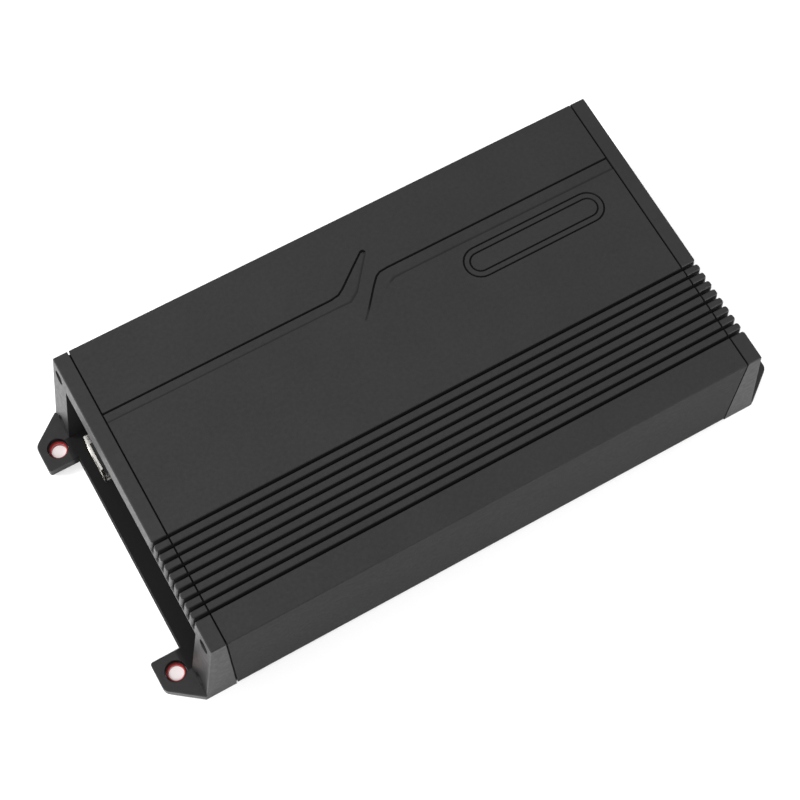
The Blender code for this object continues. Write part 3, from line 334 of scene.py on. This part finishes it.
def shrink_sleeve(name):
    """Dark blue heat-shrink film, a little wrinkled."""
    made = Shader(name)
    made.colour(made.ranged(made.noise(70.0), 0, 1), (0.012, 0.02, 0.06), (0.02, 0.035, 0.1))
    made.roughness(made.ranged(made.noise(400.0), 0.2, 0.34))
    made.bump(made.noise(260.0, 2.0), 0.08 * MM, 0.4)
    return made.material


def indicator_plastic(name):
    """Tinted clear plastic with a cloudy core."""
    made = Shader(name, ior=1.49)
    made.colour(made.ranged(made.noise(600.0), 0, 1), (0.08, 0.22, 0.85), (0.16, 0.36, 0.95))
    made.roughness(made.ranged(made.noise(900.0), 0.06, 0.14))
    made.shader.inputs["Transmission Weight"].default_value = 0.4
    return made.material


def print_ink(name, base):
    """Screen-printed ink, slightly thin in places."""
    made = Shader(name)
    made.colour(made.ranged(made.noise(1800.0, 3.0), 0, 1, 0.35, 0.6), scaled(base, 0.72), base)
    made.roughness(made.ranged(made.noise(1200.0), 0.45, 0.6))
    made.bump(made.noise(2500.0), 0.01 * MM, 0.3)
    return made.material


COAT = textured_coat("coat_black", (0.0135, 0.0135, 0.0138), 0.76, 0.88)
CAST_COAT = textured_coat(
    "coat_black_cast",
    (0.0125, 0.0125, 0.0128),
    0.35,
    0.45,
    grain=1100.0,
    relief=0.28,
    up_rough=0.36,
    cap=True,
)
SHEET = painted_sheet("sheet_black", (0.022, 0.022, 0.023))
RED = bushing_plastic("bushing_red", (0.3, 0.006, 0.009))
DARK_STEEL = blackened_steel("screw_black", (0.035, 0.034, 0.036))
NICKEL = plated_metal("nickel_plate", (0.84, 0.82, 0.78), 0.12, 0.3)
CLAMP_NICKEL = clamp_metal("nickel_clamp", (0.8, 0.78, 0.74))
GOLD = plated_metal("gold_plate", (0.9, 0.62, 0.24), 0.14, 0.26)
BLACK = moulded_plastic("plastic_black", (0.018, 0.018, 0.019), 0.38, 0.55)
KNOB = moulded_plastic("knob_black", (0.03, 0.03, 0.031), 0.5, 0.68, grain=2600.0)
WHITE_PLASTIC = moulded_plastic("insulator_white", (0.75, 0.74, 0.7), 0.3, 0.42)
RED_PLASTIC = moulded_plastic("insulator_red", (0.5, 0.015, 0.015), 0.3, 0.42)
LENS = indicator_plastic("indicator_blue")
BOARD = solder_masked_board("board_green")
COPPER = wound_wire("copper_winding")
SLEEVE = shrink_sleeve("capacitor_sleeve")
INK = print_ink("ink_white", (0.62, 0.62, 0.6))


# ---------------------------------------------------------------- CAD nodes
FLAT_ANGLE = math.radians(0.5)  # facets that meet within this are one flat face
EDGE_ANGLE = math.radians(32.0)  # edges sharper than this are rounded
SMOOTH_ANGLE = math.radians(35.0)


def dress(name, material, edge=0.0):
    """Gives a CAD node its material, and rounds its sharp edges by a modifier."""
    obj = nodes[name]
    obj.data.materials.clear()
    obj.data.materials.append(material)
    if edge:
        flat = obj.modifiers.new("Flatten", "DECIMATE")
        flat.decimate_type = "DISSOLVE"
        flat.angle_limit = FLAT_ANGLE
        bevel = obj.modifiers.new("Edges", "BEVEL")
        bevel.width = edge
        bevel.segments = 2
        bevel.limit_method = "ANGLE"
        bevel.angle_limit = EDGE_ANGLE
        bevel.harden_normals = True
        bevel.use_clamp_overlap = True


def dress_all():
    dress("heatsink_shell", COAT, 0.12 * MM)
    dress("bottom_plate", SHEET, 0.2 * MM)
    for end in ENDS:
        dress(f"end_cap_{end}", CAST_COAT, 0.1 * MM)
        for row in ROWS:
            dress(f"foot_bushing_{end}_{row}", RED, 0.15 * MM)
            dress(f"plate_screw_{end}_{row}", DARK_STEEL, 0.1 * MM)
            for level in ("upper", "lower"):
                dress(f"cap_screw_{end}_{row}_{level}", DARK_STEEL, 0.1 * MM)
    for name in ("end_panel_signal", "end_panel_power"):
        dress(name, SHEET, 0.1 * MM)
    for name in ("signal_jack_housing", "power_terminal_block", "speaker_terminal_block"):
        dress(name, BLACK, 0.2 * MM)
    dress("remote_port_insert", BLACK, 0.12 * MM)
    dress("mode_switch_case", BLACK, 0.15 * MM)
    dress("mode_switch_slider", KNOB, 0.25 * MM)
    dress("remote_port_shield", NICKEL, 0.1 * MM)
    for row in ("front", "rear"):
        for level in ("lower", "upper"):
            dress(f"jack_sleeve_{row}_{level}", NICKEL, 0.08 * MM)
    for name in CONTROLS:
        dress(f"{name}_knob", KNOB, 0.2 * MM)
        dress(f"{name}_potentiometer", BLACK, 0.2 * MM)
    for name in POWER_PORTS:
        dress(f"{name}_terminal_clamp", CLAMP_NICKEL, 0.15 * MM)
        dress(f"{name}_clamp_screw", DARK_STEEL, 0.1 * MM)
    for index in range(1, 5):
        dress(f"speaker_terminal_clamp_{index}", CLAMP_NICKEL, 0.1 * MM)
    dress("power_indicator_lens", LENS)
    dress("circuit_board", BOARD)
    dress("toroidal_transformer", COPPER)
    for index in (1, 2):
        dress(f"reservoir_capacitor_{index}", SLEEVE)
    for end in ENDS:
        dress(f"output_transistor_{end}", BLACK, 0.3 * MM)
    dress("transistor_clamp_bar", DARK_STEEL, 0.3 * MM)


# ---------------------------------------------------------------- added pieces
def add_piece(name, bm, material, body=BODY):
    """Makes an object of the mesh so far and rides it on a body."""
    bmesh.ops.recalc_face_normals(bm, faces=bm.faces)
    mesh = bpy.data.meshes.new(name)
    bm.to_mesh(mesh)
    bm.free()
    mesh.materials.append(material)
    mesh.shade_smooth()
    mesh.set_sharp_from_angle(angle=SMOOTH_ANGLE)
    obj = bpy.data.objects.new(name, mesh)
    bpy.context.scene.collection.objects.link(obj)
    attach(obj, body)
    return obj


def add_block(bm, centre, size, turn=None):
    """A small box about a centre, turned about that centre."""
    made = bmesh.ops.create_cube(bm, size=1.0)["verts"]
    bmesh.ops.scale(bm, vec=size, verts=made)
    if turn is not None:
        bmesh.ops.rotate(bm, matrix=turn, verts=made)
    bmesh.ops.translate(bm, vec=centre, verts=made)


def add_ring(bm, centre, radii, face, span, segments=32):
    """A flat-ended ring about an axis along X: outer and inner radii, and its ends' distances from a face."""
    (outer, inner), (start, end) = radii, span
    rings = []
    for x, radius in ((start, outer), (end, outer), (end, inner), (start, inner)):
        ring = []
        for i in range(segments):
            a = 2 * math.pi * i / segments
            y, z = centre[0] + radius * math.cos(a), centre[1] + radius * math.sin(a)
            ring.append(bm.verts.new((face + x, y, z)))
        rings.append(ring)
    for near, far in zip(rings, rings[1:] + rings[:1]):
        for i in range(segments):
            j = (i + 1) % segments
            bm.faces.new((near[i], near[j], far[j], far[i]))


def middle(name):
    """The middle of a CAD node's box."""
    low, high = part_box(name)
    return (low + high) / 2


INSULATOR_RADII = (3.0 * MM, 1.7 * MM)
INSULATOR_SPAN = (0.3 * MM, 0.58 * MM)  # in from the sleeve's mouth
CONTACT_RADII = (1.62 * MM, 1.3 * MM)
CONTACT_SPAN = (0.9 * MM, 7.5 * MM)


def jack_details():
    """A coloured insulator ring and a gold contact in each signal jack."""
    for row in ("front", "rear"):
        for level, material in (("lower", RED_PLASTIC), ("upper", WHITE_PLASTIC)):
            sleeve = f"jack_sleeve_{row}_{level}"
            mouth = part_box(sleeve)[0].x
            centre = middle(sleeve).yz
            bm = bmesh.new()
            add_ring(bm, centre, INSULATOR_RADII, mouth, INSULATOR_SPAN)
            add_piece(f"jack_insulator_{row}_{level}", bm, material)
            bm = bmesh.new()
            add_ring(bm, centre, CONTACT_RADII, mouth, CONTACT_SPAN, segments=24)
            add_piece(f"jack_contact_{row}_{level}", bm, GOLD)


KNOB_RIBS = 20
KNOB_RIB_SIZE = (3.0 * MM, 0.36 * MM, 0.4 * MM)  # along the knob, out from it, round it
KNOB_RIB_X = 2.4 * MM  # its middle, from the knob's outer end


def knob_details():
    """Grip ribs round each knob."""
    for name in CONTROLS:
        low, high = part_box(f"{name}_knob")
        y, z = middle(f"{name}_knob").yz
        radius = (high.y - low.y) / 2
        bm = bmesh.new()
        for i in range(KNOB_RIBS):
            a = 2 * math.pi * (i + 0.5) / KNOB_RIBS
            centre = (low.x + KNOB_RIB_X, y + radius * math.cos(a), z + radius * math.sin(a))
            add_block(bm, centre, KNOB_RIB_SIZE, Matrix.Rotation(a, 3, "X"))
        add_piece(f"{name}_knob_ribs", bm, KNOB, f"{name}_control")


INK_THICKNESS = 0.03 * MM
INK_LIFT = 0.01 * MM  # its middle, out from the panel
DIAL_TICKS = 11
DIAL_SWEEP = 280  # degrees from stop to stop
DIAL_RADIUS = 4.38 * MM  # to the ticks' inner ends
TICK_WIDTH = 0.2 * MM
TICK_LENGTH = 0.5 * MM
LONG_TICK_LENGTH = 0.8 * MM
LONG_TICK_EVERY = 5


def dial_marks():
    """Printed ticks round each knob, from stop to stop, the first, middle and last ones longer."""
    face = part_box("end_panel_signal")[0].x
    bm = bmesh.new()
    for name in CONTROLS:
        y, z = middle(f"{name}_knob").yz
        for i in range(DIAL_TICKS):
            a = math.radians(90 - DIAL_SWEEP / 2 + i * DIAL_SWEEP / (DIAL_TICKS - 1))
            length = TICK_LENGTH if i % LONG_TICK_EVERY else LONG_TICK_LENGTH
            r = DIAL_RADIUS + length / 2
            centre = (face - INK_LIFT, y + r * math.cos(a), z + r * math.sin(a))
            add_block(bm, centre, (INK_THICKNESS, length, TICK_WIDTH), Matrix.Rotation(a, 3, "X"))
    add_piece("dial_marks", bm, INK)


WASHER_RADII = (4.25 * MM, 3.75 * MM)
WASHER_SPAN = (-0.35 * MM, -0.02 * MM)  # out from the panel


def control_washers():
    """A plated washer behind each knob."""
    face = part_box("end_panel_signal")[0].x
    for name in CONTROLS:
        bm = bmesh.new()
        add_ring(bm, middle(f"{name}_knob").yz, WASHER_RADII, face, WASHER_SPAN)
        add_piece(f"{name}_washer", bm, NICKEL)


FRAME_LINE = 0.25 * MM
FRAMES = (  # label, first and last node inside, margin round them
    ("jacks", "jack_sleeve_front_lower", "jack_sleeve_rear_upper", 1.0 * MM),
    ("controls", "front_gain_knob", "crossover_knob", 2.2 * MM),
)


def panel_frames():
    """Printed outlines that group the jacks and the controls."""
    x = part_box("end_panel_signal")[0].x - INK_LIFT
    for label, first, last, margin in FRAMES:
        low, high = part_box(first)[0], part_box(last)[1]
        y0, y1, z0, z1 = low.y - margin, high.y + margin, low.z - margin, high.z + margin
        bm = bmesh.new()
        for z in (z0, z1):
            add_block(bm, (x, (y0 + y1) / 2, z), (INK_THICKNESS, y1 - y0 + FRAME_LINE, FRAME_LINE))
        for y in (y0, y1):
            add_block(bm, (x, y, (z0 + z1) / 2), (INK_THICKNESS, FRAME_LINE, z1 - z0 - FRAME_LINE))
        add_piece(f"panel_frame_{label}", bm, INK)


POWER_CLAMPS = [f"{port}_terminal_clamp" for port in POWER_PORTS]
SPEAKER_CLAMPS = [f"speaker_terminal_clamp_{i}" for i in range(1, 5)]
PORT_RIB_DEPTH = 0.9 * MM
PORT_RIB_WIDTH = 1.0 * MM
PORT_RIB_LIFT = 0.3 * MM  # its middle, out from the block
PORT_RIB_TRIM = 2.4 * MM  # how much shorter it is than the block is high


def terminal_ribs():
    """Raised dividers between the wire ports."""
    for name, clamps in (("power", POWER_CLAMPS), ("speaker", SPEAKER_CLAMPS)):
        low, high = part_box(f"{name}_terminal_block")
        places = [middle(clamp).y for clamp in clamps]
        bm = bmesh.new()
        for near, far in zip(places, places[1:]):
            centre = (high.x + PORT_RIB_LIFT, (near + far) / 2, (low.z + high.z) / 2)
            add_block(bm, centre, (PORT_RIB_DEPTH, PORT_RIB_WIDTH, high.z - low.z - PORT_RIB_TRIM))
        add_piece(f"{name}_terminal_ribs", bm, BLACK)


SIGN_LENGTH = 1.7 * MM
SIGN_WIDTH = 0.42 * MM
SIGN_LIFT = 0.04 * MM  # its middle, out from the block
BAR_THICKNESS = 0.12 * MM
UPRIGHT_THICKNESS = 0.14 * MM
SPEAKER_SIGN_RISE = 2.2 * MM  # above the port
POWER_SIGN_DROP = 1.35 * MM  # below the block's top


def terminal_signs():
    """A plus or a minus above each pole: a bar, and an upright across it for a plus."""
    bm = bmesh.new()
    signs = [("power", POWER_CLAMPS[0], True), ("power", POWER_CLAMPS[-1], False)]
    signs += [("speaker", clamp, i % 2 == 0) for i, clamp in enumerate(SPEAKER_CLAMPS)]
    for block, clamp, plus in signs:
        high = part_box(f"{block}_terminal_block")[1]
        z = high.z - POWER_SIGN_DROP if block == "power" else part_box(clamp)[1].z + SPEAKER_SIGN_RISE
        centre = (high.x + SIGN_LIFT, middle(clamp).y, z)
        add_block(bm, centre, (BAR_THICKNESS, SIGN_LENGTH, SIGN_WIDTH))
        if plus:
            add_block(bm, centre, (UPRIGHT_THICKNESS, SIGN_WIDTH, SIGN_LENGTH))
    add_piece("terminal_signs", bm, INK)


PORT_WIRES = 6
PORT_WIRE_PITCH = 1.27 * MM
PORT_WIRE_RADIUS = 0.22 * MM
# A contact wire's bends: distance from the insert's inner end, or for the tip from its mouth, and height
WIRE_ROOT = (2.6 * MM, 24.4 * MM)
WIRE_DIP = (6.0 * MM, 23.4 * MM)
WIRE_TIP = (3.0 * MM, 24.6 * MM)


def port_contacts():
    """Sprung gold wires in the modular port."""
    low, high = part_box("remote_port_insert")
    root, dip = [(high.x - back, z) for back, z in (WIRE_ROOT, WIRE_DIP)]
    points = (root, dip, (low.x + WIRE_TIP[0], WIRE_TIP[1]))
    for i in range(PORT_WIRES):
        curve = bpy.data.curves.new(f"port_contact_{i + 1}", "CURVE")
        curve.dimensions = "3D"
        curve.bevel_depth = PORT_WIRE_RADIUS
        curve.bevel_resolution = 2
        curve.use_fill_caps = True
        spline = curve.splines.new("POLY")
        spline.points.add(len(points) - 1)
        across = (low.y + high.y) / 2 + (i - (PORT_WIRES - 1) / 2) * PORT_WIRE_PITCH
        for point, (x, z) in zip(spline.points, points):
            point.co = (x, across, z, 1)
        curve.materials.append(GOLD)
        obj = bpy.data.objects.new(curve.name, curve)
        bpy.context.scene.collection.objects.link(obj)
        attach(obj, BODY)


# ---------------------------------------------------------------- stage
FLOOR_HALF_WIDTH = 6.0
FLOOR_DROP = 0.05 * MM  # keeps the floor clear of the feet
SKY_STRENGTH = 0.54
AIM = (0, 0, 20 * MM)
LIGHTS = (  # name, place, what it points at, width and length, power in watts
    ("overhead_back", (0.2, 0.45, 0.95), AIM, (0.9, 0.9), 1.8),
    ("front_fill", 2 * Vector(CAMERA_LOCATION), AIM, (0.68, 0.68), 12.5),
    ("right_fill", (0.42, -0.42, 0.16), (0.1, -0.06, 0.02), (0.3, 0.2), 1.6),
    ("left_key", (-0.75, 0.5, 0.5), AIM, (0.4, 0.4), 9.0),
)


def add_stage():
    """A wide, pale, matt floor."""
    bm = bmesh.new()
    bmesh.ops.create_grid(bm, x_segments=2, y_segments=2, size=FLOOR_HALF_WIDTH)
    mesh = bpy.data.meshes.new("floor")
    bm.to_mesh(mesh)
    bm.free()
    floor = bpy.data.objects.new("floor", mesh)
    bpy.context.scene.collection.objects.link(floor)
    pale = Shader("floor_pale")
    pale.colour(pale.ranged(pale.noise(3.0), 0, 1), (0.92, 0.92, 0.92), (0.94, 0.94, 0.94))
    pale.shader.inputs["Roughness"].default_value = 0.9
    mesh.materials.append(pale.material)
    floor.location.z = -FLOOR_DROP


def add_light(name, location, target, size, power):
    """A rectangular area light that the camera doesn't see."""
    data = bpy.data.lights.new(name, "AREA")
    data.shape = "RECTANGLE"
    data.size, data.size_y = size
    data.energy = power
    light = bpy.data.objects.new(name, data)
    light.location = location
    light.rotation_euler = (Vector(target) - Vector(location)).to_track_quat("-Z", "Y").to_euler()
    light.visible_camera = False
    bpy.context.scene.collection.objects.link(light)


def add_lights():
    world = bpy.data.worlds.new("studio")
    world.use_nodes = True
    background = world.node_tree.nodes["Background"]
    background.inputs["Color"].default_value = (1, 1, 1, 1)
    background.inputs["Strength"].default_value = SKY_STRENGTH
    bpy.context.scene.world = world
    for light in LIGHTS:
        add_light(*light)


def add_camera():
    data = bpy.data.cameras.new("camera")
    data.lens = CAMERA_LENS
    data.sensor_width = CAMERA_SENSOR
    data.clip_start = CAMERA_CLIP_START
    camera = bpy.data.objects.new("camera", data)
    camera.location = CAMERA_LOCATION
    camera.rotation_euler = [math.radians(angle) for angle in CAMERA_ROTATION]
    bpy.context.scene.collection.objects.link(camera)
    bpy.context.scene.camera = camera


bpy.context.scene.view_settings.view_transform = "Standard"
dress_all()
jack_details()
knob_details()
dial_marks()
control_washers()
panel_frames()
terminal_ribs()
terminal_signs()
port_contacts()
add_stage()
add_lights()
add_camera()
